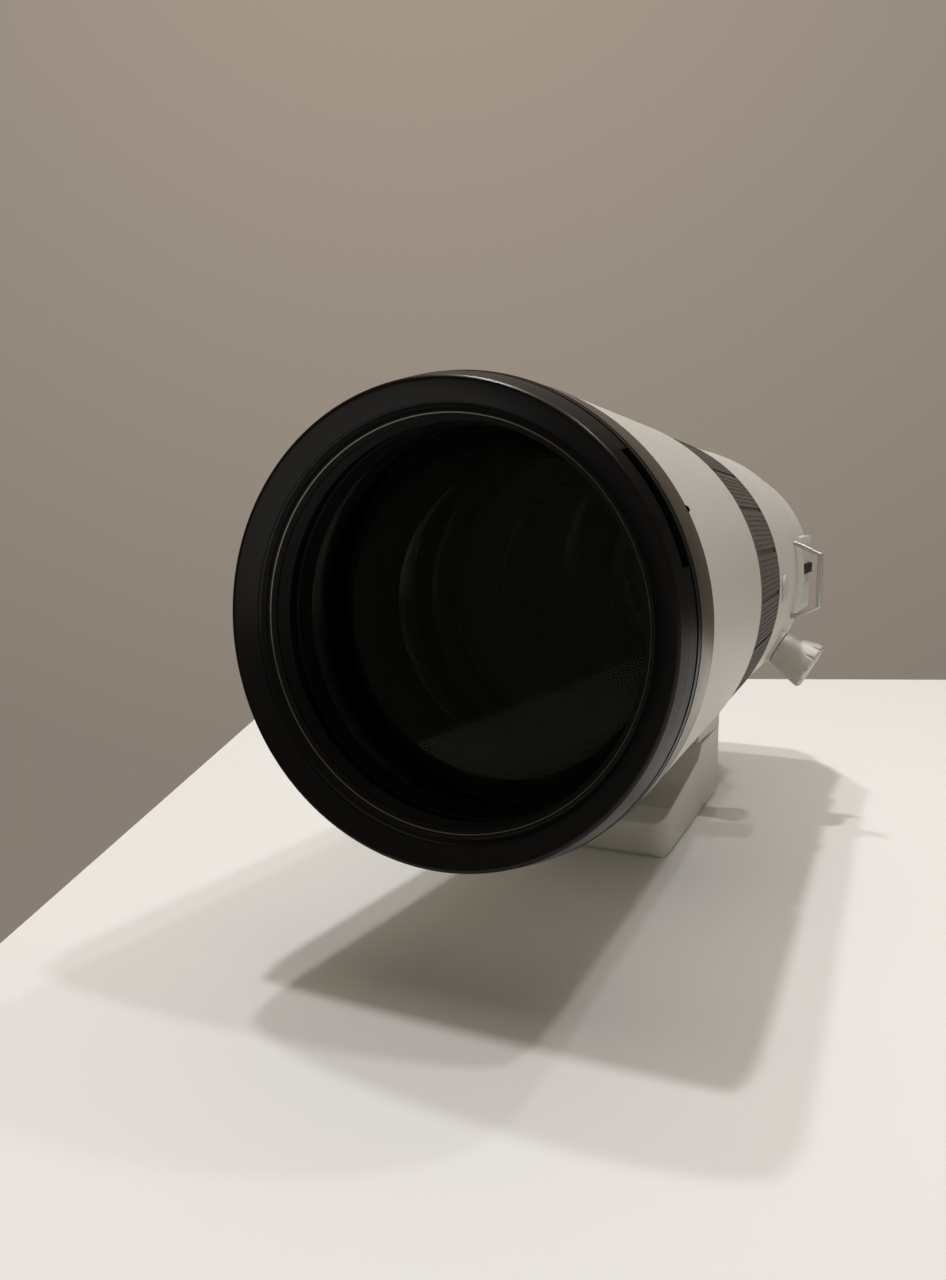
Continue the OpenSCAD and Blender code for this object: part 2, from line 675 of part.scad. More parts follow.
module stabiliser_cell() color(black) on_axis() difference() {
    cell(stab_cell_r, stab_glass_r, stab_mid - stab_cell_l / 2, stab_mid + stab_cell_l / 2, over,
        cell_lip_t / 2);
    rod_z(rod_r + run, stab_ring_r);
}
module stabiliser_element() color(glass) element(stab_glass_r,
    stab_mid - stab_cell_l / 2 + cell_lip_t / 2 + fit, stab_mid + stab_cell_l / 2 - cell_lip_t / 2 - fit,
    over, over);

rear_cell_to = tube_rear - over;
rear_cell_a = rear_cell_to - rear_cell_l;
module rear_cell() color(black) on_axis() union() {
    cell(rear_glass_r + 2 * cell_lip_t, rear_glass_r, rear_cell_a, rear_cell_to, lug_w, cell_lip_t);
    ring(tube_bore - fit, rear_glass_r + cell_lip_t, rear_cell_a, rear_cell_a + 2 * cell_lip_t);
    ring(tube_bore - fit, tube_bore - cell_lip_t, rear_cell_a, rear_cell_to);
}
module rear_element() color(glass)
    element(rear_glass_r, rear_cell_a + cell_lip_t + fit, rear_cell_to - cell_lip_t - fit,
        2 * over, 2 * over);

// Rear barrel with the collar's track, the pad of the switch panel and the tapered end
wall = 2;
inner_r = rear_r - wall - 2 * fit;
seat_w = 8;
panel_back = panel_face - panel_t;
spigot_a = middle_a + 2 * middle_l / 3 + fit;
module panel_block(x_from, x_to, margin) translate([x_from, -panel_half_h - margin, panel_a - margin])
    cube([x_to - x_from, 2 * (panel_half_h + margin), panel_l + 2 * margin]);
module rear_barrel() color(body_grey) on_axis() difference() {
    union() {
        revolve() polygon([
            [rear_r, spigot_a], [rear_r, collar_a - air], [track_r, collar_a - air],
            [track_r, rear_a + air], [stop_r, rear_a + air], [stop_r, rear_a + air + lug_w],
            [rear_r, rear_a + air + lug_w], [rear_r, taper_a], [flange_r + over, flange_a],
            [flange_r - seat_w, flange_a], [flange_r - seat_w, flange_a - wall],
            [flange_r - over, flange_a - wall], [inner_r, taper_a], [inner_r, tube_rear],
            [tube_r + fit, tube_rear], [tube_r + fit, spigot_a]]);
        difference() {
            panel_block(inner_r - 3 * wall, panel_face - blade_pitch, pad_margin);
            translate([0, 0, panel_a - 2 * pad_margin])
                cylinder(r = inner_r, h = panel_l + 4 * pad_margin);
        }
    }
    panel_block(panel_back, panel_face + over, fit);
    panel_block(inner_r - 4 * wall, panel_face, -wall);
}

slot_l = stem_h + switch_travel + 2 * air;
function switch_a(i) = panel_a + slot_first + i * slot_pitch;
module switch_panel() color(body_grey) on_axis() difference() {
    panel_block(panel_back, panel_face, 0);
    for (i = [0:3]) translate([panel_back - over, -slot_l / 2, switch_a(i) - stem_w / 2 - air / 2])
        cube([panel_t + 2 * over, slot_l, stem_w + air]);
}
// Rest is the upper end of the travel; along the axis y points down
switch_h = 1.4;
module switch_slider(i) color(black) on_axis() translate([0, -stem_h / 2 - switch_travel / 2, switch_a(i)])
    union() {
        translate([panel_back - air - flange_gap, -lug_w, -stem_w / 2 - over])
            cube([flange_gap, stem_h + 2 * lug_w, stem_w + 2 * over]);
        translate([panel_back - air - flange_gap, 0, -stem_w / 2])
            cube([flange_gap + air + panel_t + switch_h, stem_h, stem_w]);
    }
board_x = panel_back - flange_gap - 2 * air - over - board_t;
module switch_board() color(green) on_axis() union() {
    translate([board_x, -panel_half_h + wall + over, panel_a + wall + over])
        cube([board_t, 2 * (panel_half_h - wall - over), panel_l - 2 * (wall + over)]);
    for (i = [0:3]) translate([board_x + board_t - fit, -stem_h, switch_a(i) - stem_w / 2])
        cube([over + fit, 2 * stem_h, stem_w]);
}
board_in = 5;
module main_board() color(green) on_axis() difference() {
    ring(inner_r - fit, throat_r + board_in, main_board_a, main_board_a + board_t);
    for (angle = [45:90:315]) rotate([0, 0, angle]) translate([inner_r - board_in, 0, main_board_a - over])
        cylinder(r = over, h = board_t + 2 * over, $fn = fine);
}
// Rear baffle: a cone from the board to the throat, held by the mount flange
baffle_w = 7;
module rear_baffle() color(black) turned([
    [throat_r + baffle_w, main_board_a + board_t + fit],
    [throat_r + baffle_w + over, main_board_a + board_t + fit],
    [throat_r + over, flange_a - wall], [flange_r - seat_w - fit, flange_a - wall],
    [flange_r - seat_w - fit, flange_a], [throat_r, flange_a]]);

claw_lead = 3.4;
claw_a = flange_a + flange_t + claw_lead;
claw_t = 1.8;
module mount_ring() color(steel) on_axis() difference() {
    union() {
        revolve() polygon([
            [throat_r, flange_a], [flange_r - over, flange_a], [flange_r, flange_a + over],
            [flange_r, flange_a + flange_t], [bayonet_r, flange_a + flange_t],
            [bayonet_r, flange_a + flange_t + bayonet_l],
            [throat_r + 3 * over, flange_a + flange_t + bayonet_l],
            [throat_r + 3 * over, flange_a + flange_t / 2], [throat_r, flange_a + flange_t / 2]]);
        for (i = [0:2]) sector(claw_r, bayonet_r - over, claw_a, claw_a + claw_t, 120 * i - 115, 50);
    }
    mount_screw_set(screw_r + fit, head_r + fit, over);
}
screw_r = 1;
head_r = 1.9;
head_t = 1.2;
screw_edge = 3;
screw_at = flange_r - screw_edge;
module mount_screw_set(r, top_r, extra) for (angle = [45:90:315]) rotate([0, 0, angle])
    translate([screw_at, 0, 0]) union() {
        translate([0, 0, flange_a + fit]) cylinder(r = r, h = flange_t - head_t, $fn = fine);
        translate([0, 0, flange_a + flange_t - head_t - fit])
            cylinder(r = top_r, h = head_t + extra, $fn = fine);
    }
module mount_screws() color(steel) on_axis() mount_screw_set(screw_r, head_r, 0);
module mount_seal() color(black) on_axis()
    ring(flange_r + over, flange_r + fit, flange_a + over, flange_a + flange_t - over);

contact_from = 60;
contact_arc = 60;
contact_n = 8;
module contact_block() color(black) on_axis() difference() {
    sector(throat_r + 3 * over - fit, throat_r - over, flange_a + flange_t / 2 + fit,
        flange_a + flange_t + bayonet_l - over, contact_from, contact_arc);
    contact_pin_set(screw_r - 2 * fit, over);
}
module contact_pin_set(r, extra) for (i = [0:contact_n - 1])
    rotate([0, 0, contact_from + contact_arc * (i + 0.5) / contact_n])
        translate([throat_r + over, 0, flange_a + flange_t])
            cylinder(r = r, h = bayonet_l + extra, $fn = fine);
module contact_pins() color(brass) on_axis() contact_pin_set(screw_r - 3 * fit, -over / 2);

// Collar ring: crowned, with a pedestal for the foot and a boss for the knob
liner_l = 5;
shoe_l = 12;
shoe_half = 7;
shoe_room = 1;
boss_r = 7;
boss_top = knob_base_at - air;
pedestal_inset = 1.5;
pedestal_from = collar_a + pedestal_inset;
pedestal_l = collar_l - 2 * pedestal_inset;
module collar_profile() polygon(concat(
    [[collar_bore, collar_a + collar_l], [collar_bore, collar_a]],
    [for (i = [0:8]) [collar_end_r + crown * sin(180 * i / 8), collar_a + collar_l * i / 8]]));
shoe_lead = 13;
shoe_a = collar_a + shoe_lead;
module shoe_shape(r_in, r_out, margin) intersection() {
    ring(r_out, r_in, shoe_a - shoe_l / 2 - margin, shoe_a + shoe_l / 2 + margin);
    rotate([0, 0, knob_angle]) translate([0, -shoe_half - margin, shoe_a - shoe_l])
        cube([2 * collar_crown_r, 2 * (shoe_half + margin), 2 * shoe_l]);
}
shoe_in = track_r + air;
module collar_ring() color(body_grey) union() {
    on_axis() difference() {
        union() {
            revolve() collar_profile();
            radial(knob_angle, shoe_a) translate([0, 0, collar_bore + over / 2])
                cylinder(r = boss_r, h = boss_top - collar_bore - over / 2);
            translate([-neck_half_w, 0, pedestal_from]) cube([2 * neck_half_w, axis_h - neck_h, pedestal_l]);
        }
        cylinder(r = collar_bore, h = flange_a);
        shoe_shape(track_r, shoe_in + shoe_t + shoe_room, air);
        radial(knob_angle, shoe_a) cylinder(r = knob_screw_r + run, h = 2 * collar_crown_r, $fn = fine);
        for (side = [0, 180]) rotate([0, 0, side]) lug_shape(fit);
        foot_screw_set(foot_screw_r + fit, foot_screw_head_r, 0);
    }
}
module collar_liner() color(black) on_axis()
    for (from = [collar_a + over, collar_a + collar_l - over - liner_l])
        ring(collar_bore - fit, track_r + run, from, from + liner_l);

// A strap lug: a flat loop whose legs enter the collar ring
lug_lead = 18;
lug_a = collar_a + lug_lead;
lug_in = collar_bore + 4 * fit;
module lug_shape(margin) translate([0, 0, lug_a - lug_t / 2 - margin])
    linear_extrude(lug_t + 2 * margin) difference() {
        polygon([
            [lug_in - margin, -lug_root - margin], [collar_end_r, -lug_root - margin],
            [lug_reach + margin, -lug_tip - margin], [lug_reach + margin, lug_tip + margin],
            [collar_end_r, lug_root + margin], [lug_in - margin, lug_root + margin]]);
        polygon([
            [0, -lug_root + lug_bar + margin], [collar_end_r, -lug_root + lug_bar + margin],
            [lug_reach - lug_bar - margin, -lug_tip + lug_bar / 2 + margin],
            [lug_reach - lug_bar - margin, lug_tip - lug_bar / 2 - margin],
            [collar_end_r, lug_root - lug_bar - margin], [0, lug_root - lug_bar - margin]]);
    }
module strap_lugs() color(steel) on_axis() for (side = [0, 180]) rotate([0, 0, side]) lug_shape(0);

// Foot: side outline and plan cut from one another, with chamfers along the flared sides
fillet = 5;
fillet_share = 0.7;
module foot_side() polygon(concat(
    [[foot_to, 0], [foot_from + foot_chamfer, 0], [foot_from, foot_chamfer],
        [foot_from, toe_front_h - 3 * foot_chamfer], [foot_from + 3 * foot_chamfer, toe_front_h],
        [neck_from - fillet, toe_rear_h - over / 2]],
    [for (i = [0:6]) [neck_from - fillet * cos(15 * i), toe_rear_h - over / 2
        + fillet_share * fillet * (1 - cos(15 * i))]],
    [[neck_from + foot_chamfer, neck_h - fit], [foot_to, neck_h - fit]]));
front_corner_x = foot_half_w - foot_corner_r;
rear_corner_x = front_corner_x - foot_flare;
function foot_corner(x, a, from) = [for (i = [0:6])
    [x + foot_corner_r * cos(from + 15 * i), a + foot_corner_r * sin(from + 15 * i)]];
module foot_plan() translate([0, -hole_a]) polygon(concat(
    foot_corner(rear_corner_x, foot_to - foot_corner_r, 0),
    foot_corner(-rear_corner_x, foot_to - foot_corner_r, 90),
    foot_corner(-front_corner_x, foot_from + foot_corner_r, 180),
    foot_corner(front_corner_x, foot_from + foot_corner_r, 270)));
module foot_edge() translate([foot_half_w, foot_from - hole_a, 0])
    rotate([0, 0, atan(foot_flare / foot_l)]) translate([0, 3 * foot_l / 2, 0]) rotate([90, 0, 0])
        linear_extrude(2 * foot_l) polygon([
            [-foot_l, -over], [-foot_chamfer - over, -over], [over, foot_chamfer + over],
            [over, neck_h], [-foot_l, neck_h]]);
foot_screw_r = 2;
foot_screw_head_r = 3.5;
foot_screw_head_t = 4;
foot_seat = 10;
foot_bite = 8;
foot_screw_x = 9.5;
foot_screw_edge = 8;
foot_screw_a = [neck_from + foot_screw_edge, foot_to - foot_screw_edge];
module foot_screw_set(r, head, drop) for (x = [-foot_screw_x, foot_screw_x], a = foot_screw_a)
    translate([x, axis_h - foot_seat, a]) rotate([90, 0, 0]) union() {
        cylinder(r = r, h = neck_h + foot_bite - foot_seat + fit, $fn = fine);
        translate([0, 0, -foot_screw_head_t - drop])
            cylinder(r = head, h = foot_screw_head_t + drop, $fn = fine);
    }
module foot() color(body_grey) difference() {
    intersection() {
        translate([-foot_half_w, -hole_a, 0]) rotate([90, 0, 90])
            linear_extrude(2 * foot_half_w) foot_side();
        linear_extrude(neck_h) foot_plan();
        foot_edge();
        mirror([1, 0, 0]) foot_edge();
    }
    translate([0, 0, -over]) cylinder(r = big_hole_r, h = big_hole_l + over);
    translate([0, -hole_pitch, -over]) cylinder(r = small_hole_r, h = small_hole_l + over);
    on_axis() foot_screw_set(foot_screw_r + fit, foot_screw_head_r + fit, foot_seat);
}
module foot_screws() color(steel) on_axis() foot_screw_set(foot_screw_r, foot_screw_head_r, 0);

// The shoe swings on the bead along its lower end
bead_r = shoe_t / 2 + 2 * fit;
bead_at = shoe_in + shoe_t / 2;
bead_off = shoe_half - bead_r;
module brake_shoe() color(brass) on_axis() union() {
    shoe_shape(shoe_in, shoe_in + shoe_t, 0);
    rotate([0, 0, knob_angle + asin(bead_off / bead_at)])
        translate([bead_at, 0, shoe_a - shoe_l / 2]) cylinder(r = bead_r, h = shoe_l, $fn = fine);
}
// Lock knob: flared, with grip flutes, on a screw that ends at the brake shoe
flute_n = 12;
module lock_knob() color(steel) on_axis() radial(knob_angle, shoe_a) difference() {
    rotate_extrude() polygon([
        [0, shoe_in + shoe_t + air / 2], [knob_screw_r, shoe_in + shoe_t + air / 2],
        [knob_screw_r, knob_base_at], [knob_base_r, knob_base_at],
        [knob_end_r, knob_base_at + knob_l - 2 * over], [knob_end_r, knob_base_at + knob_l - over],
        [knob_end_r - over, knob_base_at + knob_l], [0, knob_base_at + knob_l]]);
    for (i = [0:flute_n - 1]) rotate([0, 0, 360 * i / flute_n])
        translate([knob_end_r + over / 2, 0, knob_base_at + 2 * over])
            cylinder(r = over, h = knob_l, $fn = fine);
}

front_ring();
trim_ring();
front_barrel();
front_cell();
front_element();
front_retainer();
baffle_tube();
second_cell();
second_element();
main_tube();
motor_stator();
guide_tube();
middle_barrel();
iris_housing();
stabiliser_frame();
rear_cell();
rear_element();
rear_barrel();
switch_panel();
switch_board();
main_board();
rear_baffle();
mount_ring();
mount_screws();
mount_seal();
contact_block();
contact_pins();
focus_ring();
focus_grip();
drive_key();
cam_tube();
motor_rotor();
focus_cell();
focus_element();
cam_followers();
iris_ring();
iris_blade(0);  // iris_blade_1
iris_blade(1);  // iris_blade_2
iris_blade(2);  // iris_blade_3
iris_blade(3);  // iris_blade_4
iris_blade(4);  // iris_blade_5
iris_blade(5);  // iris_blade_6
iris_blade(6);  // iris_blade_7
stabiliser_slide();
stabiliser_cell();
stabiliser_element();
switch_slider(0);  // switch_1
switch_slider(1);  // switch_2
switch_slider(2);  // switch_3
switch_slider(3);  // switch_4
hold_button(0);  // hold_button_1
hold_button(1);  // hold_button_2
hold_button(2);  // hold_button_3
collar_ring();
collar_liner();
foot();
foot_screws();
strap_lugs();
brake_shoe();
lock_knob();
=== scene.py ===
import json
import math

import bmesh
import bpy
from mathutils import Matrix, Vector


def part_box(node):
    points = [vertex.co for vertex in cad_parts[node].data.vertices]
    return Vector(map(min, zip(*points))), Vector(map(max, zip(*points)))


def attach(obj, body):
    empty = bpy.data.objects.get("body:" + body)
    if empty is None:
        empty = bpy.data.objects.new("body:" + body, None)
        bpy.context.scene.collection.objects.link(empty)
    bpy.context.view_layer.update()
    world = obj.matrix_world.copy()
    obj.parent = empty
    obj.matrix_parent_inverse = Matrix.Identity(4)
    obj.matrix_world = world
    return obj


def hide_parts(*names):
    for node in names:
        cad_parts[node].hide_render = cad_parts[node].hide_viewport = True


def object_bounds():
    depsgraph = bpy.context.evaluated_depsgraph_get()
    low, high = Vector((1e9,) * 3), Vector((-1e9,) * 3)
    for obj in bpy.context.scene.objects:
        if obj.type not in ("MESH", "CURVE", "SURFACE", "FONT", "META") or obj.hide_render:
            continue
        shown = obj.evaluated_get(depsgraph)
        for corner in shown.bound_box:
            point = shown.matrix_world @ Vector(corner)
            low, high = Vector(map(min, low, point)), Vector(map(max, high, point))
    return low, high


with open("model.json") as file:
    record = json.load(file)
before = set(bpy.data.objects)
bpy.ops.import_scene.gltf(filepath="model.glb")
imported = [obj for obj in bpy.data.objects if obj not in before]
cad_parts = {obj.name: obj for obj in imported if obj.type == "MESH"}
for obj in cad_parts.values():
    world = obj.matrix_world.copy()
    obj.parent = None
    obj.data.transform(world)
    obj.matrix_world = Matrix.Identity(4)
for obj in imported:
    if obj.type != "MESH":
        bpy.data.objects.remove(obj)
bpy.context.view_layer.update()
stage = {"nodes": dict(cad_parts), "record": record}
nodes = stage["nodes"]
record = stage["record"]
mm = 0.001
sharpAngle = 35
turnStep = 2

axisZ = (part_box("main_tube")[0].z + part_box("main_tube")[1].z) / 2
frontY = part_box("front_ring")[0].y


# Colours are sRGB hex values, sizes of patterns are in real mm
def colour(hexValue):
    channels = [int(hexValue[i:i + 2], 16) / 255 for i in (0, 2, 4)]
    return [c / 12.92 if c <= 0.04045 else ((c + 0.055) / 1.055) ** 2.4 for c in channels] + [1]


def addNode(tree, kind, props=None, values=None, links=None):
    node = tree.nodes.new(kind)
    for name, value in (props or {}).items():
        setattr(node, name, value)
    for name, value in (values or {}).items():
        node.inputs[name].default_value = value
    for name, source in (links or {}).items():
        tree.links.new(source, node.inputs[name])
    return node


def material(name, base, roughness, metallic=0.0, **more):
    made = bpy.data.materials.new(name)
    made.use_nodes = True
    shader = made.node_tree.nodes["Principled BSDF"]
    shader.inputs["Base Color"].default_value = colour(base)
    shader.inputs["Roughness"].default_value = roughness
    shader.inputs["Metallic"].default_value = metallic
    for socket, value in more.items():
        shader.inputs[socket.replace("_", " ")].default_value = value
    made.diffuse_color = colour(base)
    return made


# A fine waviness of the surface and of its gloss, size and height in mm
def grain(made, size, rough, height, detail=3):
    tree = made.node_tree
    shader = tree.nodes["Principled BSDF"]
    place = addNode(tree, "ShaderNodeTexCoord").outputs["Object"]
    noise = addNode(tree, "ShaderNodeTexNoise", values={"Scale": 1 / (size * mm), "Detail": detail},
                    links={"Vector": place})
    base = shader.inputs["Roughness"].default_value
    level = addNode(tree, "ShaderNodeMapRange",
                    values={"To Min": base - rough, "To Max": base + rough},
                    links={"Value": noise.outputs["Fac"]})
    tree.links.new(level.outputs["Result"], shader.inputs["Roughness"])
    bump = addNode(tree, "ShaderNodeBump", values={"Distance": height * mm},
                   links={"Height": noise.outputs["Fac"]})
    tree.links.new(bump.outputs["Normal"], shader.inputs["Normal"])
    return made


# Fine turned rings round the lens axis, pitch in mm. At scale 1 a wave repeats every 0.314 m
def turnedLines(made, pitch, height, waveLength=0.314):
    tree = made.node_tree
    shader = tree.nodes["Principled BSDF"]
    place = addNode(tree, "ShaderNodeTexCoord").outputs["Object"]
    moved = addNode(tree, "ShaderNodeMapping", values={"Location": (0, 0, -axisZ)},
                    links={"Vector": place})
    wave = addNode(tree, "ShaderNodeTexWave", {"wave_type": "RINGS", "rings_direction": "Y"},
                   {"Scale": waveLength / (pitch * mm)}, {"Vector": moved.outputs["Vector"]})
    bump = addNode(tree, "ShaderNodeBump", values={"Distance": height * mm},
                   links={"Height": wave.outputs["Fac"]})
    tree.links.new(bump.outputs["Normal"], shader.inputs["Normal"])
    return made


# Sprayed body paint: a matt sheen that spreads the ceiling light wide
paint = grain(material("Light grey paint", "D2D1C8", 0.45), 0.5, 0.05, 0.004)
# Moulded rubber: dull brown black, brighter only where it faces the light
rubber = grain(material("Grip rubber", "58524C", 0.7), 0.6, 0.08, 0.01)
# Turned and anodised: near black, with rings that draw thin streaks of light
blackAlu = turnedLines(material("Black anodised aluminium", "050506", 0.3, Specular_IOR_Level=0.25),
                       0.5, 0.006)
# Matt black inner walls: swallow nearly all light behind the glass
blackPaint = grain(material("Matt black paint", "040404", 0.8, Specular_IOR_Level=0),
                   0.3, 0.05, 0.004)
# Thread and seats round the glass: bead blasted, then anodised, a dull black with a weak sheen
seatAlu = grain(material("Matt black anodised aluminium", "050505", 0.55,
                         Specular_IOR_Level=0.18), 0.3, 0.05, 0.002)
# Machined inner parts: dark, with a soft metal glint
darkAlu = grain(material("Dark anodised aluminium", "161617", 0.5, 0.5), 0.4, 0.06, 0.002)
# Satin band behind the rim: warm grey metal that shows the table and the lamps as broad bands
satinAlu = grain(material("Satin grey aluminium", "7C766F", 0.32, 0.85), 0.8, 0.05, 0.001)
# The thread's edge: pale metal painted on a thin ring, a painted highlight that draws a thin bright
# line
highlightEdgeAlu = grain(material("Black edge with painted highlight", "6E6C69", 0.3, 0.8), 0.2, 0.05, 0.001)
# Blasted knob and its screw: pale and matt
knobAlu = grain(material("Satin silver aluminium", "C9C5BE", 0.5, 0.3), 0.4, 0.06, 0.003)
# Mount, screws and lugs: brushed, with a clear but blurred glint
steelMetal = grain(material("Brushed steel", "C4C2BD", 0.38, 0.85), 0.25, 0.08, 0.001)
# Followers and bushes: warm yellow metal
brassMetal = grain(material("Brass", "B08D4A", 0.32, 1), 0.3, 0.06, 0.001)
# Contact pins: polished gold
goldMetal = grain(material("Gold plating", "D8B25A", 0.25, 1), 0.2, 0.05, 0.001)
# Slide switches and contact block: fine moulded texture
blackAbs = grain(material("Black ABS", "1B1B1C", 0.5), 0.4, 0.06, 0.004)
# Switch panel and hold buttons: close to the paint, slightly duller
greyAbs = grain(material("Light grey ABS", "C4C2BA", 0.5), 0.4, 0.06, 0.004)
# Lacquered board: dark green with a faint unevenness
boardGreen = grain(material("Circuit board", "173F27", 0.45), 1.2, 0.08, 0.003)
# Soft ring that seals the mount: dull black
sealRubber = grain(material("Seal rubber", "141414", 0.7), 0.4, 0.06, 0.004)
# Friction liner and brake shoe: pale, waxy
linerPlastic = grain(material("Liner plastic", "BDB8AC", 0.5), 0.5, 0.06, 0.003)
# Coated glass: clear, with weak olive reflections
coatedGlass = material("Coated glass", "F4F6F2", 0.0, Transmission_Weight=1, IOR=1.5,
                       Specular_Tint=colour("5F6154"))
print("materials", len(bpy.data.materials))


# Outward normals, smooth faces, and edges above the angle sharp
def finishMesh(mesh, angle=sharpAngle):
    work = bmesh.new()
    work.from_mesh(mesh)
    bmesh.ops.recalc_face_normals(work, faces=work.faces)
    for face in work.faces:
        face.smooth = True
    for edge in work.edges:
        edge.smooth = len(edge.link_faces) == 2 and edge.calc_face_angle(0) < math.radians(angle)
    work.to_mesh(mesh)
    work.free()
    return mesh


def addObject(name, points, faces):
    mesh = bpy.data.meshes.new(name)
    mesh.from_pydata(points, [], faces)
    made = bpy.data.objects.new(name, finishMesh(mesh))
    bpy.context.scene.collection.objects.link(made)
    return made


# A turned piece follows a closed profile of (station, radius) round the lens axis
def lathe(name, profile, turns=None, depth=None):
    turns = turns or range(0, 360, turnStep)
    points, faces = [], []
    count = len(profile)
    for turn in turns:
        c, s = math.cos(math.radians(turn)) * mm, math.sin(math.radians(turn)) * mm
        for i, (a, r) in enumerate(profile):
            r = depth(turn, i, r) if depth else r
            points.append((r * c, frontY + a * mm, axisZ + r * s))
    for k in range(len(turns)):
        here, there = k * count, (k + 1) % len(turns) * count
        for i in range(count):
            j = (i + 1) % count
            faces.append((here + i, here + j, there + j, there + i))
    return addObject(name, points, faces)


# Corners given as (station, radius, rounding) become short arcs
def rounded(corners, steps=3):
    out = []
    for i, (a, r, size) in enumerate(corners):
        here = Vector((a, r))
        if not size:
            out.append((a, r))
            continue
        before = Vector(corners[i - 1][:2]) - here
        after = Vector(corners[(i + 1) % len(corners)][:2]) - here
        start, end = here + before.normalized() * size, here + after.normalized() * size
        for k in range(steps + 1):
            t = k / steps
            p = start * (1 - t) ** 2 + here * 2 * t * (1 - t) + end * t ** 2
            out.append((p.x, p.y))
    return out


# A copy of a construction mesh with small rounded edges, width and merge in mm, angles in degrees
def softened(node, width, segments=2, angle=20, merge=0.002, flat=1):
    mesh = nodes[node].data.copy()
    mesh.name = node + "_soft"
    work = bmesh.new()
    work.from_mesh(mesh)
    bmesh.ops.remove_doubles(work, verts=work.verts, dist=merge * mm)
    bmesh.ops.dissolve_limit(work, angle_limit=math.radians(flat), verts=work.verts,
                             edges=work.edges)
    work.to_mesh(mesh)
    work.free()
    made = bpy.data.objects.new(node + "_soft", finishMesh(mesh, angle))
    bpy.context.scene.collection.objects.link(made)
    bevel = made.modifiers.new("Edges", "BEVEL")
    bevel.width = width * mm
    bevel.segments = segments
    bevel.limit_method = "ANGLE"
    bevel.angle_limit = math.radians(angle)
    shading = made.modifiers.new("Normals", "WEIGHTED_NORMAL")
    shading.keep_sharp = True
    return made


bodyOf = {node: body for body, names in record["behaviour"]["bodies"].items() for node in names}
slotOf = {part["node"]: part["material_slot"] for part in record["subparts"]}


def dress(made, node, surface, replaced=True):
    made.data.materials.clear()
    made.data.materials.append(surface)
    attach(made, bodyOf[node])
    if replaced:
        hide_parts(node)
    return made


def paintFaces(made, surface, test):
    made.data.materials.append(surface)
    for face in made.data.polygons:
        a = (face.center.y - frontY) / mm
        r = math.hypot(face.center.x, face.center.z - axisZ) / mm
        if test(a, r):
            face.material_index = len(made.data.materials) - 1


# Front ring: rim, funnel, thread teeth, and a hood groove with three pockets.
# Stations run in mm from the rim's face to the rear, "wall" is the lean of upright walls
front = {"rim": 56, "rimA": 0.7, "flat": 54.8, "face": 55.4, "back": 58, "length": 10,
         "spigotR": 55.2, "spigotTo": 15, "bore": 48.4, "threadR": 46.95, "threadFrom": 6.4,
         "threadTo": 12.4, "teeth": 6, "tooth": 0.5, "toothDepth": 0.55,
         "funnel": [(5.8, 48.15), (5.65, 48.4), (5.2, 48.7), (5.2, 49.3), (4.3, 50.05), (4, 50.2),
                    (3.8, 50.5), (3.55, 50.55), (0.3, 54.45)],
         "seatFrom": 4.3, "seatR": 50, "edgeA": (5.65, 5.8), "edgeR": (48.1, 48.45),
         "pocketA": 4.6, "grooveA": 7.4, "grooveTo": 8.2, "grooveR": 54.6, "pocketR": 54.9,
         "pockets": (15.5, 135.5, 255.5), "pocketArc": 28, "wall": 0.01}


def frontOuter(a):
    share = (a - front["rimA"]) / (front["length"] - front["rimA"])
    return front["rim"] + (front["back"] - front["rim"]) * share


threadPoints = []
for tooth in range(front["teeth"]):
    a = front["threadTo"] - tooth
    threadPoints += [(a, front["threadR"] + front["toothDepth"]),
                     (a - front["tooth"], front["threadR"])]
rimPoints = rounded([(0, front["flat"], 0.15), (0, front["face"], 0.2),
                     (front["rimA"], front["rim"], 0.25)], 2)
outerPoints = [(a + lean, frontOuter(a + lean))
               for a in (front["pocketA"], front["grooveA"], front["grooveTo"])
               for lean in (0, front["wall"])]
# Points of the profile between the pocket's front wall and the groove, and of the groove
pocketPoints = (len(rimPoints) + 1, len(rimPoints) + 2)
groovePoints = (len(rimPoints) + 3, len(rimPoints) + 4)
backPoints = rounded([
    (front["length"], front["back"], 0.25), (front["length"], front["spigotR"], 0),
    (front["spigotTo"], front["spigotR"], 0.3), (front["spigotTo"], front["bore"], 0)], 2)
frontProfile = (rimPoints + outerPoints + backPoints + [(front["threadTo"], front["bore"])]
                + threadPoints + [(front["threadFrom"], front["threadR"])] + front["funnel"])


def grooveDepth(turn, i, r):
    if i in groovePoints:
        return front["grooveR"]
    lean = front["wall"] / 2
    inPocket = any(start + lean < turn < start + front["pocketArc"] - lean
                   for start in front["pockets"])
    return front["pocketR"] if inPocket and i in pocketPoints else r


frontTurns = set(range(0, 360, turnStep))
for start in front["pockets"]:
    for edge in (start, start + front["pocketArc"]):
        frontTurns |= {edge, edge + front["wall"], edge - front["wall"]}
frontRing = dress(lathe("front_ring_turned", frontProfile, sorted(frontTurns), grooveDepth),
                  "front_ring", blackAlu)
paintFaces(frontRing, seatAlu, lambda a, r: a > front["seatFrom"] and r < front["seatR"])
# The thin chamfer at the thread's edge is given the pale metal of a painted highlight
paintFaces(frontRing, highlightEdgeAlu, lambda a, r: (front["edgeA"][0] < a < front["edgeA"][1]
                                             and front["edgeR"][0] < r < front["edgeR"][1]))
print("front ring", len(frontRing.data.polygons))

# Trim ring, front barrel and the index mark at their joint
trim = {"from": 10, "to": 23, "r": 57.7, "inner": 55.25, "round": 0.5}
trimCorners = [
    (trim["from"], trim["inner"], 0), (trim["from"], trim["r"], trim["round"]),
    (trim["to"], trim["r"], trim["round"]), (trim["to"], trim["inner"], 0)]
dress(lathe("trim_ring_turned", rounded(trimCorners)), "trim_ring", satinAlu)

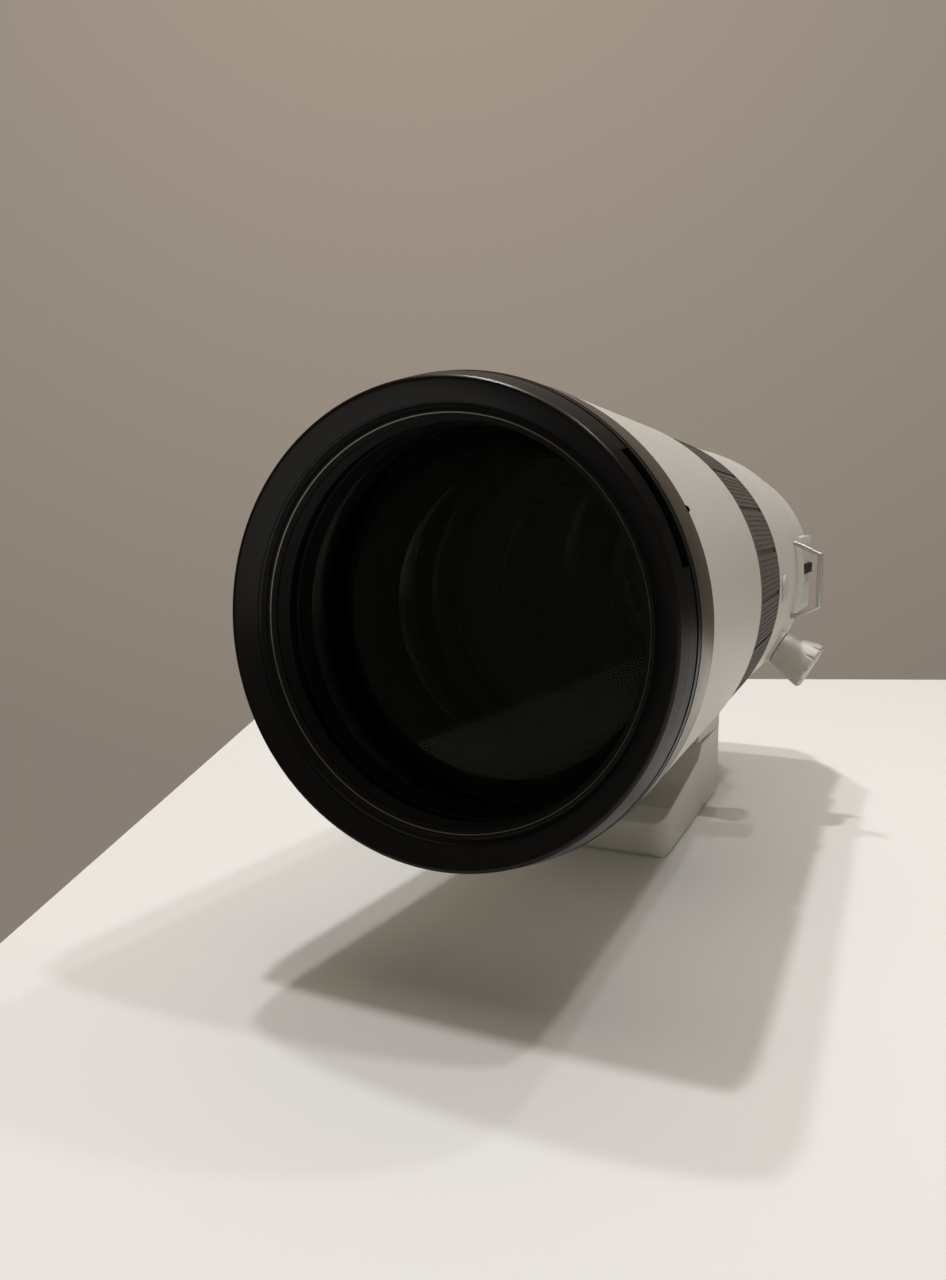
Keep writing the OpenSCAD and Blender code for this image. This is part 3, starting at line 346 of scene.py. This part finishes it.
barrel = {"from": 23, "to": 99, "front": 57.7, "step": 0.1, "rear": 54.6, "seatTo": 48,
          "seatR": 55.2, "bore": 52.1}
barrelCorners = [
    (barrel["from"], barrel["seatR"], 0), (barrel["from"], barrel["front"] - barrel["step"], 0.45),
    (barrel["to"], barrel["rear"], 0.5), (barrel["to"], barrel["bore"], 0),
    (barrel["seatTo"], barrel["bore"], 0), (barrel["seatTo"], barrel["seatR"], 0)]
frontBarrel = dress(lathe("front_barrel_turned", rounded(barrelCorners)), "front_barrel", paint)

mark = {"turn": 28, "from": 22.2, "to": 24.6, "half": 0.9, "taper": 0.5, "rise": 0.03,
        "sunk": 0.3}
markPoints = []
for a, share in ((mark["from"], 1), (mark["to"], mark["taper"])):
    for side in (-1, 1):
        for r in (trim["r"] - mark["sunk"], trim["r"] + mark["rise"]):
            turn = math.radians(mark["turn"]) + side * share * mark["half"] / trim["r"]
            markPoints.append((r * mm * math.cos(turn), frontY + a * mm,
                               axisZ + r * mm * math.sin(turn)))
markFaces = [(0, 1, 3, 2), (4, 6, 7, 5), (0, 4, 5, 1), (2, 3, 7, 6), (1, 5, 7, 3), (0, 2, 6, 4)]
dress(addObject("index_mark", markPoints, markFaces), "front_ring", blackPaint, False)
print("front barrel", len(frontBarrel.data.polygons))

# Rubber grip: channels along the axis, and fine grooves in three bands between plain lands.
# "rib" gives the steps of one rib as shares of its turn, "wall" the lean of a channel's walls
grip = {"from": 100.85, "to": 145.45, "front": 54.2, "rear": 52.4, "inner": 51.25, "lipTo": 102,
        "channels": 24, "channelW": 1.6, "channelD": 0.5, "channelEnds": (102.85, 143.45),
        "ribs": 8, "ribD": 0.25, "rib": ((0.58, "top"), (0.7, "rib"), (0.88, "rib"), (1, "top")),
        "bands": ((103.4, 115.6), (117, 129.4), (130.8, 142.9)), "slope": 0.25, "wall": 0.02}


def gripR(a):
    share = (a - grip["from"]) / (grip["to"] - grip["from"])
    return grip["front"] + (grip["rear"] - grip["front"]) * share


gripProfile = rounded([(grip["from"], grip["inner"], 0), (grip["from"], grip["front"], 0.5),
                       (grip["lipTo"], gripR(grip["lipTo"]), 0)])
inChannel, inBand = set(), set()


def gripPoint(a, *sets):
    for group in sets:
        group.add(len(gripProfile))
    gripProfile.append((a, gripR(a)))


gripPoint(grip["channelEnds"][0])
gripPoint(grip["channelEnds"][0] + grip["wall"], inChannel)
for a, b in grip["bands"]:
    gripPoint(a, inChannel)
    gripPoint(a + grip["slope"], inChannel, inBand)
    gripPoint(b - grip["slope"], inChannel, inBand)
    gripPoint(b, inChannel)
gripPoint(grip["channelEnds"][1] - grip["wall"], inChannel)
gripPoint(grip["channelEnds"][1])
gripProfile += rounded([(grip["to"], grip["rear"], 0.4), (grip["to"], grip["inner"], 0),
                        (grip["from"], grip["inner"], 0)])[:-1]
channelTurn = 360 / grip["channels"]
halfChannel = math.degrees(grip["channelW"] / 2 / grip["front"])
ribTurn = (channelTurn - 2 * halfChannel) / grip["ribs"]
kindAt = {}
for k in range(grip["channels"]):
    start = k * channelTurn - halfChannel
    steps = [(0, "top"), (grip["wall"], "channel"), (2 * halfChannel - grip["wall"], "channel"),
             (2 * halfChannel, "top")]
    for rib in range(grip["ribs"] - 1):
        base = 2 * halfChannel + rib * ribTurn
        steps += [(base + share * ribTurn, kind) for share, kind in grip["rib"]]
    kindAt.update((start + turn, kind) for turn, kind in steps)


def ribDepth(turn, i, r):
    if kindAt[turn] == "channel" and i in inChannel:
        return r - grip["channelD"]
    return r - grip["ribD"] if kindAt[turn] == "rib" and i in inBand else r


focusGrip = dress(lathe("focus_grip_ribbed", gripProfile, list(kindAt), ribDepth),
                  "focus_grip", rubber)
print("grip", len(focusGrip.data.polygons))

# Front glass: domed on both faces, drawn in rings round a pinhole at its centre
frontGlass = {"low": 17.6, "high": 36.1, "r": 48.75, "sagLow": 4.5, "sagHigh": 1.2}


def domed(name, low, high, r, sagLow, sagHigh, rings=24, pinhole=0.02):
    def dome(radius, sag):
        full = (r * r + sag * sag) / (2 * sag)
        return full - math.sqrt(full * full - radius * radius)
    radii = [pinhole] + [r * i / rings for i in range(1, rings + 1)]
    profile = [(low + dome(x, sagLow), x) for x in radii]
    profile += [(high - dome(x, sagHigh), x) for x in reversed(radii)]
    return lathe(name, profile)


dress(domed("front_element_polished", **frontGlass), "front_element", coatedGlass)
print("front glass")

# Pieces that keep their construction shape, with softer edges of the width given in mm
softPieces = {
    "middle_barrel": (paint, 0.5), "collar_ring": (paint, 0.8), "foot": (paint, 1.2),
    "rear_barrel": (paint, 0.5), "lock_knob": (knobAlu, 0.25), "strap_lugs": (steelMetal, 0.5),
    "switch_panel": (greyAbs, 0.4), "mount_ring": (steelMetal, 0.25),
    "mount_screws": (steelMetal, 0.15), "foot_screws": (steelMetal, 0.3),
    "contact_block": (blackAbs, 0.2), "contact_pins": (goldMetal, 0.15),
    "focus_ring": (darkAlu, 0.2), "front_retainer": (seatAlu, 0.2),
    "second_cell": (blackPaint, 0.3)}
softPieces.update({"switch_%d" % k: (blackAbs, 0.3) for k in range(1, 5)})
softPieces.update({"hold_button_%d" % k: (greyAbs, 0.35) for k in range(1, 4)})
for node, (surface, width) in softPieces.items():
    dress(softened(node, width), node, surface)
print("soft pieces", len(softPieces))

# The rest keeps its construction mesh and gets the material of its slot,
# apart from the inner pieces that the glass shows, which are blackened
plain = {"black_metal": blackPaint, "trim_metal": satinAlu, "light_grey_paint": paint,
         "coated_glass": coatedGlass, "dark_metal": darkAlu, "grip_rubber": rubber,
         "steel": steelMetal, "brass": brassMetal, "black_plastic": blackAbs,
         "button_plastic": greyAbs, "circuit_board": boardGreen, "seal_rubber": sealRubber,
         "liner_plastic": linerPlastic, "knob_metal": knobAlu}
blackened = dict.fromkeys(("motor_stator", "motor_rotor", "main_tube", "guide_tube", "focus_cell",
                           "iris_housing", "iris_ring"), blackPaint)
blackened["front_cell"] = seatAlu
for node, made in nodes.items():
    made.data.materials.clear()
    made.data.materials.append(blackened.get(node, plain[slotOf[node]]))
    for face in made.data.polygons:
        face.use_smooth = True
    made.data.set_sharp_from_angle(angle=math.radians(sharpAngle))
print("plain nodes", len(nodes))

# Pale table top and a backdrop with a painted pool of light, square to a heading close to the
# camera's. Points of the room are given in metres across the heading, along it and up
heading = math.radians(24)
across = Vector((math.cos(heading), math.sin(heading), 0))
away = Vector((-math.sin(heading), math.cos(heading), 0))
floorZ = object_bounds()[0][2]
table = {"left": -0.19, "right": 1.6, "near": -1.2, "far": 0.315}
# The backdrop's "lit" and "dim" tones are painted light, brightest round one point of the wall
backdrop = {"half": 4, "at": 1.4, "low": -3, "high": 4, "lit": "A4988A", "dim": "877D73",
            "lightPoolCentre": (-0.2, 1.4, 1.3), "litTo": 0.3, "dimFrom": 1.7}


def roomPoint(u, v, z):
    return across * u + away * v + Vector((0, 0, z))


def plane(name, corners, surface):
    made = addObject(name, [tuple(roomPoint(*corner)) for corner in corners], [(0, 1, 2, 3)])
    made.data.materials.append(surface)
    return made


# The backdrop shows a painted pool of light as written, its "lit" tone near one point fading to
# "dim" away from it, and lights the object as a plain wall.
# Sockets 6, 7 and output 2 are the colours of a mix node
wall = material("Backdrop", "9E9488", 0.9)
tree = wall.node_tree
shader = tree.nodes["Principled BSDF"]
place = addNode(tree, "ShaderNodeTexCoord").outputs["Object"]
# Painted light: the backdrop's colour is lighter near this point and darker further from it
lightPoolCentre = roomPoint(*backdrop["lightPoolCentre"])
gap = addNode(tree, "ShaderNodeVectorMath", {"operation": "DISTANCE"}, {1: lightPoolCentre}, {0: place})
share = addNode(tree, "ShaderNodeMapRange",
                values={"From Min": backdrop["litTo"], "From Max": backdrop["dimFrom"]},
                links={"Value": gap.outputs["Value"]})
tone = addNode(tree, "ShaderNodeMix", {"data_type": "RGBA"},
               {6: colour(backdrop["lit"]), 7: colour(backdrop["dim"])},
               {0: share.outputs["Result"]})
tree.links.new(tone.outputs[2], shader.inputs["Base Color"])
rays = addNode(tree, "ShaderNodeLightPath")
seen = addNode(tree, "ShaderNodeMath", {"operation": "MAXIMUM"},
               links={0: rays.outputs["Is Camera Ray"], 1: rays.outputs["Is Transmission Ray"]})
glow = addNode(tree, "ShaderNodeEmission", values={"Strength": 1},
               links={"Color": tone.outputs[2]})
mixed = addNode(tree, "ShaderNodeMixShader",
                links={"Fac": seen.outputs["Value"], 1: shader.outputs["BSDF"],
                       2: glow.outputs["Emission"]})
tree.links.new(mixed.outputs["Shader"], tree.nodes["Material Output"].inputs["Surface"])

left, right, near, far = (table[side] for side in ("left", "right", "near", "far"))
plane("table", [(left, near, floorZ), (right, near, floorZ), (right, far, floorZ),
                (left, far, floorZ)],
      grain(material("Table top", "F3F2EE", 0.6), 0.8, 0.05, 0.002))
half, at, low, high = (backdrop[side] for side in ("half", "at", "low", "high"))
plane("backdrop", [(-half, at, low), (half, at, low), (half, at, high), (-half, at, high)], wall)
print("table and backdrop")


# Lamps look at the lens axis above the foot, sizes are in metres and energies in watts
def lamp(name, place, size, energy, tone):
    data = bpy.data.lights.new(name, "AREA")
    data.size = size
    data.energy = energy
    data.color = colour(tone)[:3]
    made = bpy.data.objects.new(name, data)
    made.location = place
    towards = Vector((0, 0, axisZ)) - Vector(place)
    made.rotation_euler = towards.to_track_quat("-Z", "Y").to_euler()
    bpy.context.scene.collection.objects.link(made)


# A wide soft lamp for the ceiling's light, and four small spots whose shadows cross on the table
lamp("ceiling_wash", (0, 0.2, 1.9), 2.0, 9, "FFEFDC")
spots = {"height": 2.0, "size": 0.08, "tone": "FCFCFF",
         "places": {"left": (-0.24, -0.1, 11.5), "left_far": (-0.48, 0.29, 8),
                    "right": (0.8, 0.19, 6.5), "back": (0.63, 0.8, 4)}}
for name, (x, y, energy) in spots["places"].items():
    lamp("spot_" + name, (x, y, spots["height"]), spots["size"], energy, spots["tone"])
soft = {"tone": "CFC5B6", "strength": 0.28}
world = bpy.data.worlds.new("Soft room")
world.use_nodes = True
background = world.node_tree.nodes["Background"]
background.inputs["Color"].default_value = colour(soft["tone"])
background.inputs["Strength"].default_value = soft["strength"]
bpy.context.scene.world = world
print("lamps", len(bpy.data.lights))

# Camera at the photo's angle: in front of the rim, to its right and a little above.
# Distances in metres from the rim's centre, angles in degrees
view = {"aside": 0.10586, "ahead": 0.20256, "above": 0.02775, "down": 7.435, "turn": 25.34,
        "lens": 29.01, "sensor": 36, "clip": 0.01}
camera = bpy.data.objects.new("Camera", bpy.data.cameras.new("Camera"))
camera.location = (view["aside"], frontY - view["ahead"], axisZ + view["above"])
camera.rotation_euler = (math.radians(90 - view["down"]), 0, math.radians(view["turn"]))
camera.data.lens = view["lens"]
camera.data.sensor_width = view["sensor"]
camera.data.clip_start = view["clip"]
camera.data.dof.use_dof = False
bpy.context.scene.collection.objects.link(camera)
bpy.context.scene.camera = camera
bpy.context.scene.view_settings.view_transform = "Standard"
print("camera")
